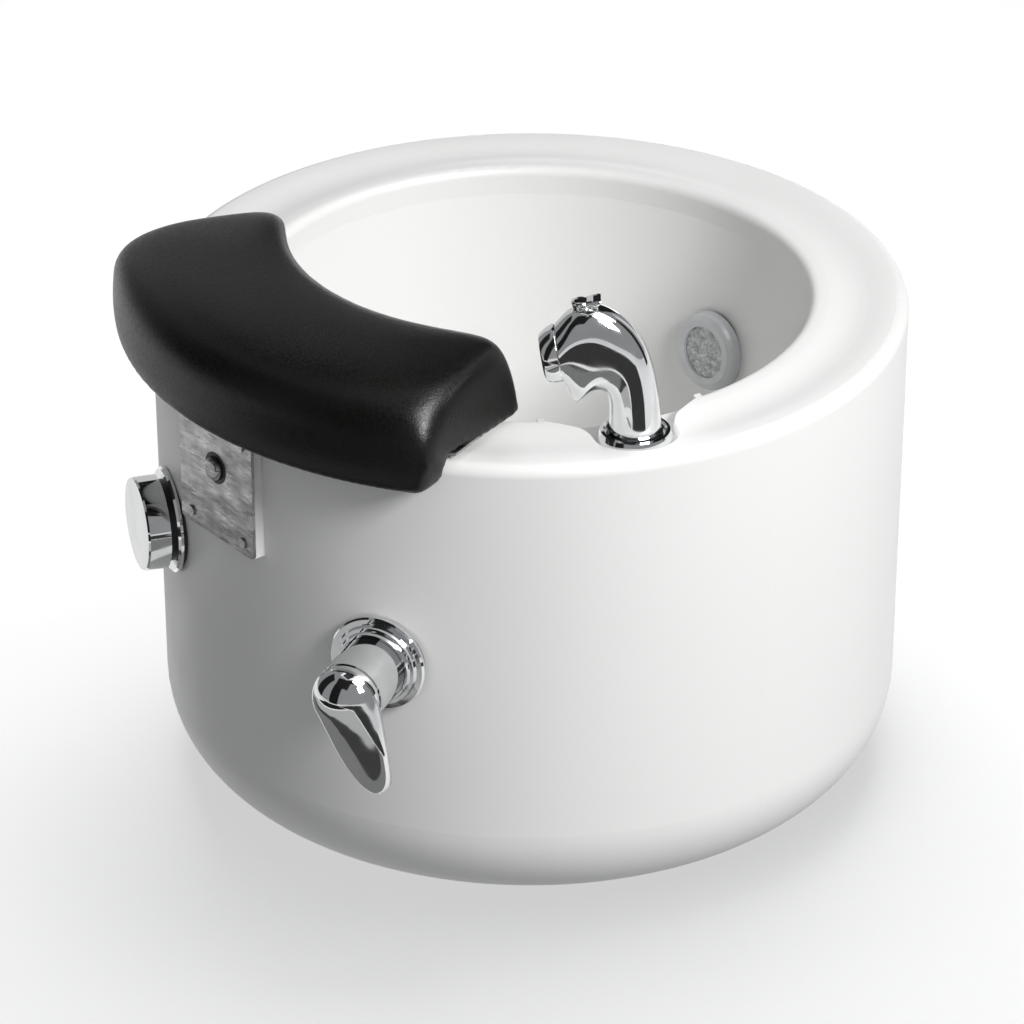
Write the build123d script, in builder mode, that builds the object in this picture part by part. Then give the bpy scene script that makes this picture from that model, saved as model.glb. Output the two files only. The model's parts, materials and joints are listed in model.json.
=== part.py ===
from build123d import *
import os
from math import cos, pi, radians, sin, tan

# Pedicure foot bath: a round tub with a basin bonded into its rim, a height-adjustable footrest
# cushion, a single-lever mixer, a rotary pop-up waste, a pull-out hand spray and a lamp.
# Millimetres. +Z is up, the tub's axis is Z, the floor is Z = 0 and the footrest faces -Y.

# ---------------------------------------------------------------- driving dimensions
rim_radius = 275.0          # outside of the tub at the rim
wall_foot_radius = 270.9    # where the tapered wall line would meet the floor
tub_height = 376.0          # outer edge of the rim above the floor
foot_height = 4.0           # rubber pads under the tub
skin = 5.0                  # thickness of the moulded shells
bottom_round = 73.0
rim_round = 9.0
rim_dish = 3.0              # depth of the shallow dish between the rim's two edges
lip_height = 377.0          # inner edge of the rim
lip_radius = 203.0          # inner face of the rim's lip, flush with the basin
seam_height = 356.0         # bonded joint between lip and basin
service_radius = 150.0      # opening in the casing's bottom

basin_floor = (176.0, 112.0)
drain_floor = (38.0, 106.0)
basin_round = 70.0

footrest_angle = 270.0      # places around the tub, degrees from +X
mixer_angle = 299.2
mixer_height = 210.4
knob_angle = 250.0
knob_height = 232.5
holder_angle = 340.5
holder_radius = 230.0
pocket_floor = 368.0
pocket_radius = 29.0
pocket_flare = 3.0          # how much wider the pocket is at the rim than at its floor
mouth_radius = 219.0        # where the pocket starts to widen towards the basin
mouth_spread = 24.0         # how much wider than the pocket its mouth gets, on each side
lamp_angle = 95.5
lamp_height = 260.0
spray_heading = 232.0       # where the nozzle points at rest

gap = 0.3                   # clearance between bodies that move past each other
fit = 0.05                  # radial clearance of a running fit

os.makedirs("parts", exist_ok=True)


def save(builder, name):
    builder.part.label = name
    export_step(builder.part, f"parts/{name}.step")


def wall_radius(height):
    """Outside radius of the tapered wall at a height above the floor."""
    return wall_foot_radius + (rim_radius - wall_foot_radius) * height / tub_height


def around(radius, angle, height):
    """Point at a radius and an angle about the tub's axis."""
    return (radius * cos(radians(angle)), radius * sin(radians(angle)), height)


def wall_plane(angle, height, out=0.0):
    """Plane on the outside wall: z points out of the tub, y points up."""
    c = cos(radians(angle))
    s = sin(radians(angle))
    centre = around(wall_radius(height) + out, angle, height)
    return Plane(origin=centre, x_dir=(-s, c, 0), z_dir=(c, s, 0))


def level(height, angle=0.0, centre=(0, 0)):
    """Horizontal plane at a height, its x turned to an angle, its origin over a centre."""
    x_dir = (cos(radians(angle)), sin(radians(angle)), 0)
    return Plane(origin=(centre[0], centre[1], height), x_dir=x_dir, z_dir=(0, 0, 1))


def upright(plane):
    """Plane that holds another plane's z as its own y, for profiles that revolve about that z."""
    return Plane(origin=plane.origin, x_dir=plane.x_dir, z_dir=-plane.y_dir)


def below(plane, x, y, z):
    """Plane that faces down from a point given in another plane's own coordinates."""
    return Plane(origin=plane.from_local_coords((x, y, z)), x_dir=plane.x_dir, z_dir=(0, 0, -1))


def axis_of(plane):
    return Axis(plane.origin, plane.z_dir)


def round_corners(sketch, rounds):
    """Round the sketch corner nearest each listed point."""
    for point, radius in rounds:
        fillet(sketch.vertices().sort_by_distance(point)[0], radius)


def turned(plane, *outlines):
    """Solid of revolution about a plane's z from closed (radius, height) outlines."""
    with BuildPart() as solid:
        with BuildSketch(upright(plane)):
            for outline in outlines:
                with BuildLine():
                    Polyline(*outline, close=True)
                make_face()
        revolve(axis=axis_of(plane))
    return solid.part


def tube(inner, outer, low, high):
    """Outline of a plain ring."""
    return [(inner, low), (outer, low), (outer, high), (inner, high)]


def cord_path(points):
    """Straight runs joined by tangent arcs, each as large as its two runs allow."""
    corners = [Vector(*p) for p in points]
    radii = []
    for before, here, after in zip(corners, corners[1:], corners[2:]):
        turn = (here - before).get_angle(after - here)
        shorter = min((here - before).length, (after - here).length)
        radii.append(0.45 * shorter / tan(radians(turn / 2)))
    print("bend radii", [round(r) for r in radii])
    return FilletPolyline(*corners, radius=radii)


def compare_cord(solid, line, radius):
    """Print a cord's volume beside its section times its length."""
    length = sum(edge.length for edge in line.edges())
    print("cord volume", round(solid.part.volume), "section x length", round(pi * radius**2 * length))


# ---------------------------------------------------------------- rim and casing
rim_profile = [
    (rim_radius, tub_height),
    (258, tub_height),
    (236, tub_height - rim_dish),
    (214, lip_height),
    (lip_radius, lip_height),
]
rim_rounds = [
    (rim_profile[0], rim_round),
    (rim_profile[1], 60),
    (rim_profile[2], 60),
    (rim_profile[3], 40),
    (rim_profile[4], 6.5),
]
outer_foot = (wall_radius(foot_height), foot_height)
inner_foot = (outer_foot[0] - skin, foot_height + skin)
inner_rim = (rim_radius - skin, tub_height - skin)
tray_bottom = pocket_floor - skin

# Everything under the rim's outer surface, used to trim what is moulded into the rim.
with BuildPart() as tub_envelope:
    with BuildSketch(Plane.XZ) as envelope_section:
        with BuildLine():
            Polyline((0, foot_height), outer_foot, *rim_profile, (0, lip_height), close=True)
        make_face()
        round_corners(envelope_section, [(outer_foot, bottom_round)] + rim_rounds[:4])
    revolve(axis=Axis.Z)


def pocket_shape(low, grow):
    """Block round the handset holder: U-shaped, flared upwards, its mouth open to the basin."""
    with BuildPart() as shape:
        for height, flare in ((low, 0), (lip_height + 2, pocket_flare)):
            half = pocket_radius + grow + flare
            with BuildSketch(level(height, holder_angle)) as outline:
                with BuildLine():
                    Polyline(
                        (holder_radius, half),
                        (mouth_radius, half),
                        (200, half + mouth_spread),
                        (180, half + mouth_spread),
                        (180, -half - mouth_spread),
                        (200, -half - mouth_spread),
                        (mouth_radius, -half),
                        (holder_radius, -half),
                    )
                    ThreePointArc((holder_radius, -half), (holder_radius + half, 0), (holder_radius, half))
                make_face()
                round_corners(outline, [((mouth_radius, half), 20), ((mouth_radius, -half), 20)])
        loft()
    return shape.part


pocket_block = pocket_shape(tray_bottom, skin)
with BuildPart() as pocket_tray:
    add(pocket_block)
    add(tub_envelope.part, mode=Mode.INTERSECT)
    with BuildSketch():
        Circle(lip_radius)
    extrude(amount=tub_height + 10, mode=Mode.SUBTRACT)
    add(pocket_shape(pocket_floor, 0), mode=Mode.SUBTRACT)

# ---------------------------------------------------------------- casing screws
# They are made first, so that the plates and the casing get their holes from them.
base_plate_top = foot_height + skin + 3.0
base_screw_count = 8
base_screw_circle = 161.0
screw_shank = 2.0
screw_head = 4.0

plate_width = 87.0
plate_low = 266.0
plate_high = 361.0
plate_face = 281.5          # distance of the wall plate's front from the tub's axis
plate_thickness = 2.5
plate_screw_spots = [(x, z) for x in (-31, 31) for z in (plate_low + 9, plate_high - 9)]
wall_plate_plane = Plane(origin=(0, -plate_face, 0), x_dir=(1, 0, 0), z_dir=(0, -1, 0))

with BuildPart() as casing_screws:
    with BuildSketch(Plane.XY.offset(foot_height + 1)):
        with PolarLocations(base_screw_circle, base_screw_count):
            Circle(screw_shank)
    extrude(amount=base_plate_top - foot_height - 1)
    with BuildSketch(Plane.XY.offset(base_plate_top)):
        with PolarLocations(base_screw_circle, base_screw_count):
            Circle(screw_head)
    extrude(amount=2.5)
    with BuildSketch(wall_plate_plane):
        with Locations(*plate_screw_spots):
            Circle(screw_head)
    extrude(amount=1.6)
    with BuildSketch(wall_plate_plane):
        with Locations(*plate_screw_spots):
            Circle(screw_shank)
    extrude(amount=-21)
save(casing_screws, "casing_screws")

# ---------------------------------------------------------------- casing
button_height = 322.0
cup_radius = 10.0
mixer_neck = 21.5
housing_neck = 19.5
sleeve_radius = 14.0

with BuildPart() as casing:
    with BuildSketch(Plane.XZ) as casing_section:
        with BuildLine():
            Polyline(
                (service_radius, foot_height),
                outer_foot,
                *rim_profile,
                (lip_radius, seam_height),
                (lip_radius + skin, seam_height),
                (lip_radius + skin, lip_height - 8),
                (236, tub_height - rim_dish - skin),
                inner_rim,
                inner_foot,
                (service_radius, foot_height + skin),
                close=True,
            )
        make_face()
        round_corners(casing_section, [(outer_foot, bottom_round)] + rim_rounds)
        round_corners(casing_section, [(inner_foot, bottom_round - skin), (inner_rim, rim_round - skin)])
    revolve(axis=Axis.Z)
    add(pocket_block, mode=Mode.SUBTRACT)
    add(pocket_tray.part)
    with BuildSketch(level(tray_bottom - 1, centre=around(holder_radius, holder_angle, 0))):
        Circle(sleeve_radius + gap)
    extrude(amount=skin + 2, mode=Mode.SUBTRACT)
    with BuildSketch(wall_plane(mixer_angle, mixer_height, -15)):
        Circle(mixer_neck + 0.5)
    extrude(amount=30, mode=Mode.SUBTRACT)
    with BuildSketch(wall_plane(knob_angle, knob_height, -15)):
        Circle(housing_neck + 0.5)
    extrude(amount=30, mode=Mode.SUBTRACT)
    with BuildSketch(wall_plane(footrest_angle, button_height, -15)):
        Circle(cup_radius + 0.2)
    extrude(amount=30, mode=Mode.SUBTRACT)
    add(casing_screws.part, mode=Mode.SUBTRACT)
save(casing, "casing")

# ---------------------------------------------------------------- basin
drain_hole = 24.0
basin_profile = [
    (lip_radius, seam_height),
    basin_floor,
    drain_floor,
    (drain_hole, drain_floor[1]),
]


def basin_radius(height):
    """Inside radius of the basin's straight wall."""
    share = (height - basin_floor[1]) / (seam_height - basin_floor[1])
    return basin_floor[0] + (lip_radius - basin_floor[0]) * share


basin_lean = (lip_radius - basin_floor[0]) / (seam_height - basin_floor[1])
lamp_spot = around(basin_radius(lamp_height), lamp_angle, lamp_height)
lamp_plane = Plane(
    origin=lamp_spot,
    x_dir=(sin(radians(lamp_angle)), -cos(radians(lamp_angle)), 0),
    z_dir=(-cos(radians(lamp_angle)), -sin(radians(lamp_angle)), basin_lean),
)
lamp_barrel = 17.0

# The basin filled solid, used to trim what stands against its underside.
with BuildPart() as basin_core:
    with BuildSketch(Plane.XZ) as core_section:
        with BuildLine():
            Polyline(
                (0, seam_height),
                (lip_radius + skin, seam_height),
                (basin_floor[0] + skin, basin_floor[1] - skin),
                (drain_floor[0], drain_floor[1] - skin),
                (0, drain_floor[1] - skin),
                close=True,
            )
        make_face()
        round_corners(core_section, [((basin_floor[0] + skin, basin_floor[1] - skin), basin_round + skin)])
    revolve(axis=Axis.Z)

with BuildPart() as basin:
    with BuildSketch(Plane.XZ) as basin_section:
        with BuildLine():
            Polyline(
                *basin_profile,
                (drain_hole, drain_floor[1] - skin),
                (drain_floor[0], drain_floor[1] - skin),
                (basin_floor[0] + skin, basin_floor[1] - skin),
                (lip_radius + skin - 0.5, seam_height - skin),
                (lip_radius + skin + 2.5, seam_height - skin),
                (lip_radius + skin + 2.5, seam_height),
                close=True,
            )
        make_face()
        round_corners(
            basin_section,
            [
                (basin_floor, basin_round),
                ((basin_floor[0] + skin, basin_floor[1] - skin), basin_round + skin),
                (drain_floor, 20),
            ],
        )
    revolve(axis=Axis.Z)
    with BuildSketch(lamp_plane):
        Circle(lamp_barrel + gap)
    extrude(amount=20, both=True, mode=Mode.SUBTRACT)
save(basin, "basin")

# ---------------------------------------------------------------- underside
with BuildPart() as base_plate:
    with BuildSketch(Plane.XY.offset(foot_height + skin)):
        Circle(172)
        Circle(72, mode=Mode.SUBTRACT)
    extrude(amount=3)
    add(casing_screws.part, mode=Mode.SUBTRACT)
save(base_plate, "base_plate")

with BuildPart() as rubber_feet:
    with BuildSketch():
        with PolarLocations(175, 4, start_angle=45):
            Circle(18)
    extrude(amount=foot_height)
save(rubber_feet, "rubber_feet")

with BuildPart() as basin_supports:
    with BuildSketch(Plane.XY.offset(base_plate_top)):
        with PolarLocations(95, 3, start_angle=30):
            Circle(18)
    extrude(amount=120)
    add(basin_core.part, mode=Mode.SUBTRACT)
save(basin_supports, "basin_supports")

# ---------------------------------------------------------------- footrest slide on the wall
rail_spots = [(-33.5, (plate_low + plate_high) / 2), (33.5, (plate_low + plate_high) / 2)]
plate_centre = (0, (plate_low + plate_high) / 2)
plate_span = plate_high - plate_low
collar_radius = 12.0

with BuildPart() as wall_plate:
    with BuildSketch(wall_plate_plane):
        with Locations(plate_centre):
            RectangleRounded(plate_width, plate_span, 3)
        with Locations((0, button_height)):
            Circle(collar_radius, mode=Mode.SUBTRACT)
    extrude(amount=-plate_thickness)
    add(casing_screws.part, mode=Mode.SUBTRACT)
save(wall_plate, "wall_plate")

with BuildPart() as slide_rails:
    with BuildSketch(wall_plate_plane.offset(-plate_thickness)):
        with Locations(*rail_spots):
            Rectangle(17, plate_span)
    extrude(amount=-12)
    add(tub_envelope.part, mode=Mode.SUBTRACT)
    add(casing_screws.part, mode=Mode.SUBTRACT)
save(slide_rails, "slide_rails")

with BuildPart() as wall_backing_plate:
    with BuildSketch(wall_plate_plane.offset(264.3 - plate_face)):
        with Locations(plate_centre):
            Rectangle(plate_width, plate_span)
        with Locations((0, button_height)):
            Circle(cup_radius + 0.2, mode=Mode.SUBTRACT)
    extrude(amount=-2)
    add(casing_screws.part, mode=Mode.SUBTRACT)
save(wall_backing_plate, "wall_backing_plate")

# Push button that frees the slide: plane z is the depth behind the wall plate's back face.
button_centre = (0, plate_thickness - plate_face, button_height)
button_plane = Plane(origin=button_centre, x_dir=(1, 0, 0), z_dir=(0, -1, 0))
button_cap = 8.75
button_shank = 6.8
cup_mouth = -5.0

with BuildPart() as button_collar:
    add(turned(button_plane, tube(button_cap + gap, collar_radius, 0, plate_thickness + 0.3)))
save(button_collar, "button_collar")

with BuildPart() as button_cup:
    add(turned(button_plane, tube(button_cap, cup_radius, -25, cup_mouth), tube(0, cup_radius, -26.5, -25)))
save(button_cup, "button_cup")

with BuildPart() as release_button:
    add(turned(button_plane, tube(0, 3, -17, -8), tube(0, button_shank, -8, 3.2)))
    add(turned(button_plane, tube(0, button_cap, 3.2, 7.6)))
    fillet(release_button.edges().group_by(Axis.Y)[0], 3.5)
save(release_button, "release_button")

spring_start = button_plane.from_local_coords((0, 0, -20.5))
with BuildPart() as button_spring:
    with BuildLine() as coil:
        Helix(pitch=2.4, height=12, radius=5.2, center=spring_start, direction=button_plane.z_dir)
    with BuildSketch(Plane(origin=coil.line @ 0, z_dir=coil.line % 0)):
        Circle(0.5)
    sweep(is_frenet=True)
save(button_spring, "button_spring")

# ---------------------------------------------------------------- footrest
bracket_low = 269.0
bracket_top = 380.4
bracket_sheet = 2.8
tongue_face = plate_face - plate_thickness - gap
tongue_half = 24.3
slide_travel = 35.0
slot_half = button_shank + gap
bracket_screw_spots = [(x, y) for x in (-36, 36) for y in (-262, -232)]

with BuildPart() as bracket_screws:
    with BuildSketch(Plane.XY.offset(bracket_top - bracket_sheet)):
        with Locations(*bracket_screw_spots):
            Circle(4.5)
    extrude(amount=2, taper=45)
    with BuildSketch(Plane.XY.offset(bracket_top - bracket_sheet)):
        with Locations(*bracket_screw_spots):
            Circle(2)
    extrude(amount=16)
save(bracket_screws, "bracket_screws")

with BuildPart() as footrest_bracket:
    with BuildSketch(Plane.XZ.offset(tongue_face)):
        with Locations((0, (bracket_low + bracket_top) / 2)):
            Rectangle(2 * tongue_half, bracket_top - bracket_low)
        with Locations((0, button_height - slide_travel / 2)):
            SlotOverall(slide_travel + 2 * slot_half, 2 * slot_half, rotation=90, mode=Mode.SUBTRACT)
        with Locations(*[(0, button_height - step * slide_travel / 3) for step in range(4)]):
            Rectangle(2 * slot_half + 3, 3, mode=Mode.SUBTRACT)
    extrude(amount=-bracket_sheet)
    with BuildSketch(Plane.XY.offset(bracket_top)):
        with Locations((0, -tongue_face + 30)):
            Rectangle(2 * tongue_half + 44, 60)
    extrude(amount=-bracket_sheet)
    add(bracket_screws.part, mode=Mode.SUBTRACT)
save(footrest_bracket, "footrest_bracket")

cushion_inner = 177.0
cushion_outer = 302.0
cushion_low = 362.0
cushion_top = 433.0
end_slant = 20.5            # ends lean this far from the Y direction
end_offset = 94.0           # distance of an end's line from the tub's axis
near_edge = 125.0           # nothing of the cushion comes nearer to the axis than y = -125


def footrest_outline(inner, outer, offset, near):
    """Ring sector on the -Y side with slanted ends and a straight cut at y = -near."""
    far = 330.0
    slant = radians(end_slant)
    half_near, half_far = [(offset + y * sin(slant)) / cos(slant) for y in (near, far)]
    with BuildSketch(mode=Mode.PRIVATE) as outline:
        Circle(outer)
        Circle(inner, mode=Mode.SUBTRACT)
        with BuildSketch(mode=Mode.PRIVATE) as wedge:
            with BuildLine():
                Polyline(
                    (-half_near, -near), (half_near, -near), (half_far, -far), (-half_far, -far), close=True
                )
            make_face()
        add(wedge.sketch, mode=Mode.INTERSECT)
    return outline.sketch


with BuildPart() as footrest_insert:
    with BuildSketch(Plane.XY.offset(bracket_top)):
        add(footrest_outline(193, 270, end_offset + 1, near_edge + 10))
    extrude(amount=2)
    add(bracket_screws.part, mode=Mode.SUBTRACT)
save(footrest_insert, "footrest_insert")

with BuildPart() as footrest_cushion:
    with BuildSketch(Plane.XY.offset(cushion_low)) as cushion_sketch:
        add(footrest_outline(cushion_inner, cushion_outer, end_offset, near_edge))
        near_corners = cushion_sketch.vertices().group_by(Axis.Y)[-1].sort_by(Axis.X)
        fillet([near_corners[0], near_corners[-1]], 12)
        fillet(cushion_sketch.vertices().group_by(Axis.Y)[0], 25)
    extrude(amount=cushion_top - cushion_low)
    fillet(footrest_cushion.faces().sort_by(Axis.Z)[-1].edges(), 18)
    with BuildSketch(Plane.XZ) as rim_clearance:
        with Locations((138.1, 188.85)):
            Rectangle(276.2, 377.7)
        fillet(rim_clearance.vertices().sort_by_distance((276.2, 377.7))[0], rim_round)
    revolve(axis=Axis.Z, mode=Mode.SUBTRACT)
    add(footrest_insert.part, mode=Mode.SUBTRACT)
    add(footrest_bracket.part, mode=Mode.SUBTRACT)
    add(bracket_screws.part, mode=Mode.SUBTRACT)
save(footrest_cushion, "footrest_cushion")

# ---------------------------------------------------------------- mixer, outwards along its own axis
mixer = wall_plane(mixer_angle, mixer_height)
pivot_out = 52.0            # lever pivot, measured out from the wall
neck_top = pivot_out - 8.0  # end of the valve body's neck under the sleeve
rotor_seat = neck_top - 12.0
sleeve_outer = 24.5
dome_radius = 23.6
dome_inner = 22.0
cap_inner = 24.0
cap_outer = 26.2
rotor_radius = 8.0
stem_half = 3.0
pin_radius = 1.5

with BuildPart() as mixer_gasket:
    add(turned(mixer, tube(29, 34.5, -3, 1.5)))
    add(tub_envelope.part, mode=Mode.SUBTRACT)
save(mixer_gasket, "mixer_gasket")

with BuildPart() as mixer_escutcheon:
    steps = [(36.2, 1.5), (36.2, 4), (35, 5.5), (31, 5.5), (30, 9), (27.5, 9), (26.5, 12)]
    add(turned(mixer, [(29, 1.5)] + steps + [(24.8, 12), (24.8, 8), (29, 8)]))
save(mixer_escutcheon, "mixer_escutcheon")

with BuildPart() as mixer_locknut:
    with BuildSketch(mixer.offset(0.4)):
        RegularPolygon(27, 6)
        Circle(mixer_neck + 0.05, mode=Mode.SUBTRACT)
    extrude(amount=6)
save(mixer_locknut, "mixer_locknut")

inlet_spread = 13.0
inlet_radius = 9.5
collar_depth = 26.0
inlet_depth = 40.0
outlet_side = 32.0
outlet_drop = 52.0
port_depth = 230.0 - wall_radius(mixer_height)
port_centre = mixer.from_local_coords((0, 0, port_depth))
port_plane = below(mixer, 0, 0, port_depth)
inlet_spots = [(-inlet_spread, 0), (inlet_spread, 0)]
with BuildPart() as mixer_body:
    add(turned(mixer, tube(0, 24, -46, -12), tube(0, 27, -12, -7), tube(0, mixer_neck, -7, neck_top)))
    with BuildSketch(port_plane):
        with Locations(*inlet_spots):
            Circle(12)
    extrude(amount=collar_depth)
    with BuildSketch(port_plane):
        with Locations(*inlet_spots):
            Circle(inlet_radius)
    extrude(amount=inlet_depth)
    with BuildSketch(Plane(origin=port_centre, x_dir=(0, 0, 1), z_dir=mixer.x_dir)):
        Circle(8)
    extrude(amount=outlet_side + 8)
    with BuildSketch(port_plane):
        with Locations((outlet_side, 0)):
            Circle(8)
    extrude(amount=outlet_drop)
    with BuildSketch(port_plane):
        with Locations(*inlet_spots):
            Circle(6.5)
    extrude(amount=inlet_depth, mode=Mode.SUBTRACT)
    add(turned(mixer, tube(0, 18, -32, neck_top)), mode=Mode.SUBTRACT)
save(mixer_body, "mixer_body")

with BuildPart() as mixer_cartridge:
    seat = rotor_radius + fit
    barrel = [(0, -31.9), (17.9, -31.9), (17.9, neck_top - 1)]
    add(turned(mixer, barrel + [(seat, neck_top - 1), (seat, rotor_seat), (0, rotor_seat)]))
save(mixer_cartridge, "mixer_cartridge")

pivot = mixer.offset(pivot_out)
with BuildPart() as mixer_sleeve:
    with Locations(pivot):
        Sphere(dome_radius)
    add(turned(mixer, tube(0, 40, 0, pivot_out - 1)), mode=Mode.SUBTRACT)
    add(turned(mixer, tube(0, sleeve_outer, 6.6, pivot_out - 0.4)))
    with Locations(pivot):
        Sphere(dome_inner, mode=Mode.SUBTRACT)
    add(turned(mixer, tube(0, dome_inner, 0, pivot_out), tube(0, 16.5, pivot_out, 80)), mode=Mode.SUBTRACT)
save(mixer_sleeve, "mixer_sleeve")

# The lever hangs from a shell over the sleeve's dome, leaning a little to one side at rest.
lever_lean = 24.0
lever_length = 61.0         # pivot axis to the centre of the rounded tip
lever_tip = 11.0
lever_plane = Plane(
    origin=mixer.origin,
    x_dir=mixer.x_dir * cos(radians(lever_lean)) + mixer.y_dir * sin(radians(lever_lean)),
    z_dir=mixer.z_dir,
)
pin_plane = Plane(origin=pivot.origin, x_dir=lever_plane.z_dir, z_dir=lever_plane.x_dir)

with BuildPart() as mixer_rotor:
    add(turned(mixer, tube(0, rotor_radius, rotor_seat + 0.2, pivot_out + 5)))
    with BuildSketch(lever_plane.offset(pivot_out - 10)):
        Rectangle(2 * (stem_half + fit), 30)
    extrude(amount=20, mode=Mode.SUBTRACT)
    with BuildSketch(pin_plane):
        Circle(pin_radius)
    extrude(amount=10, both=True, mode=Mode.SUBTRACT)
save(mixer_rotor, "mixer_rotor")

with BuildPart() as lever_pin:
    with BuildSketch(pin_plane):
        Circle(pin_radius)
    extrude(amount=7.5, both=True)
save(lever_pin, "lever_pin")

cap_low = pivot_out + 9
with BuildPart() as mixer_lever:
    with BuildSketch(lever_plane.offset(cap_low)):
        with BuildLine():
            FilletPolyline(
                (-23, 8), (-20, -40), (-lever_tip, -lever_length - 10), (lever_tip, -lever_length - 10),
                (20, -40), (23, 8), close=True, radius=9,
            )
        make_face()
    extrude(amount=9)
    fillet(mixer_lever.faces().sort_by(axis_of(mixer))[-1].edges(), 4)
    with Locations(pivot):
        Sphere(cap_outer)
        Sphere(cap_inner, mode=Mode.SUBTRACT)
    add(turned(mixer, tube(0, 40, -5, cap_low)), mode=Mode.SUBTRACT)
    add(turned(mixer, tube(0, cap_inner, cap_low - 5, pivot_out + 12)), mode=Mode.SUBTRACT)
    with BuildSketch(mixer.offset(cap_low)):
        Circle(7)
    extrude(amount=15)
    with BuildSketch(lever_plane.offset(pivot_out - 6)):
        Rectangle(2 * stem_half, 9)
    extrude(amount=16)
    with BuildSketch(pin_plane):
        Circle(pin_radius + fit)
    extrude(amount=5, both=True, mode=Mode.SUBTRACT)
save(mixer_lever, "mixer_lever")

# ---------------------------------------------------------------- drain knob, outwards along its own axis
knob = wall_plane(knob_angle, knob_height)
spindle_radius = 5.0
knob_radius = 34.6
cable_radius = 2.5
cable_depth = -24.0

with BuildPart() as knob_gasket:
    add(turned(knob, tube(20.3, 36, -3, 1)))
    add(tub_envelope.part, mode=Mode.SUBTRACT)
save(knob_gasket, "knob_gasket")

with BuildPart() as knob_escutcheon:
    add(turned(knob, [(20.3, 1), (38.8, 1), (38.8, 3), (37, 4.6), (20.3, 4.6)]))
save(knob_escutcheon, "knob_escutcheon")

with BuildPart() as drive_housing:
    hollow = spindle_radius + fit
    section = [(hollow, 8.4), (30, 8.4), (30, 4.6), (housing_neck, 4.6), (housing_neck, -34), (hollow, -34)]
    add(turned(knob, section))
    with BuildSketch(below(knob, 0, 0, cable_depth)):
        Circle(cable_radius + 1.5)
    extrude(amount=32)
    add(turned(knob, tube(0, hollow, -34, 9)), mode=Mode.SUBTRACT)
save(drive_housing, "drive_housing")

with BuildPart() as knob_locknut:
    with BuildSketch(knob.offset(-15)):
        RegularPolygon(27, 6)
        Circle(housing_neck + 0.05, mode=Mode.SUBTRACT)
    extrude(amount=7.5)
save(knob_locknut, "knob_locknut")

with BuildPart() as knob_spindle:
    add(turned(knob, tube(0, spindle_radius, -33.5, 20)))
save(knob_spindle, "knob_spindle")

with BuildPart() as drain_knob:
    hub = [(0, 20), (spindle_radius, 20), (spindle_radius, 9), (12, 9), (12, 20)]
    cover = [(31, 20), (31, 9), (knob_radius, 9), (knob_radius, 24.6), (33.6, 26), (0, 26)]
    add(turned(knob, hub + cover))
    with BuildSketch(below(knob, 0, 0, 14)):
        Circle(2)
    extrude(amount=12.5, mode=Mode.SUBTRACT)
save(drain_knob, "drain_knob")

with BuildPart() as knob_grub_screw:
    with BuildSketch(below(knob, 0, -spindle_radius, 14)):
        Circle(2)
    extrude(amount=6)
save(knob_grub_screw, "knob_grub_screw")

# ---------------------------------------------------------------- pop-up waste in the basin's floor
drain_high = drain_floor[1]
flange_tube = 23.0
waste_port_height = 70.0
waste_port_reach = 40.0

with BuildPart() as waste_seal:
    add(turned(Plane.XY, tube(flange_tube + gap, 34, drain_high, drain_high + 0.8)))
save(waste_seal, "waste_seal")

with BuildPart() as waste_flange:
    underside = drain_high + 0.8
    neck = [(19, drain_high - 1.5), (19, 66), (flange_tube, 66), (flange_tube, underside)]
    dish = [(35, underside), (36, underside + 1), (34, underside + 2), (22, underside + 1)]
    add(turned(Plane.XY, neck + dish))
    with BuildSketch(Plane.XY.offset(80)):
        Rectangle(40, 3)
        Rectangle(3, 40)
        Circle(7)
        Circle(4 + fit, mode=Mode.SUBTRACT)
    extrude(amount=4)
save(waste_flange, "waste_flange")

with BuildPart() as waste_locknut:
    with BuildSketch(Plane.XY.offset(drain_high - skin - 7)):
        RegularPolygon(33, 8)
        Circle(flange_tube + 0.05, mode=Mode.SUBTRACT)
    extrude(amount=6.9)
save(waste_locknut, "waste_locknut")

waste_port = Plane(origin=around(26, knob_angle, waste_port_height), z_dir=around(1, knob_angle, 0))
with BuildPart() as waste_body:
    outside = [(19.05, 56), (27, 56), (30, 60), (30, 93)]
    inside = [(23.1, 93), (23.1, 65.5), (16, 65.5), (16, 64.5), (19.05, 64.5)]
    add(turned(Plane.XY, outside + inside))
    with BuildSketch(waste_port):
        Circle(6)
    extrude(amount=waste_port_reach - 26)
    with BuildSketch(waste_port):
        Circle(cable_radius - 1)
    extrude(amount=waste_port_reach - 25, mode=Mode.SUBTRACT)
save(waste_body, "waste_body")

with BuildPart() as waste_tail_pipe:
    add(turned(Plane.XY, tube(16.5, 20, 2, 56), tube(16.5, 19, 56, 64.4)))
save(waste_tail_pipe, "waste_tail_pipe")

with BuildPart() as drain_plug:
    stem = [(0, 66), (4, 66), (4, 104), (14, 104), (14, 106.5)]
    add(turned(Plane.XY, stem + [(18.6, 106.5), (18.6, 108.5), (12, 111), (0, 112)]))
save(drain_plug, "drain_plug")

with BuildPart() as plug_seal:
    add(turned(Plane.XY, tube(14, 18.7, 104.5, 106.5)))
save(plug_seal, "plug_seal")

# The control cable runs down between the shells and in under the basin.
cable_start = wall_radius(knob_height) + cable_depth
with BuildPart() as drain_cable:
    with BuildLine() as cable_line:
        cord_path(
            [
                around(radius, knob_angle, height)
                for radius, height in (
                    (cable_start, knob_height - 32), (cable_start, 150), (240, 108), (212, 78),
                    (170, 64), (124, 62), (82, waste_port_height), (waste_port_reach, waste_port_height),
                )
            ]
        )
    with BuildSketch(Plane(origin=cable_line.line @ 0, z_dir=cable_line.line % 0)):
        Circle(cable_radius)
    sweep()
save(drain_cable, "drain_cable")
compare_cord(drain_cable, cable_line, cable_radius)

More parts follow.
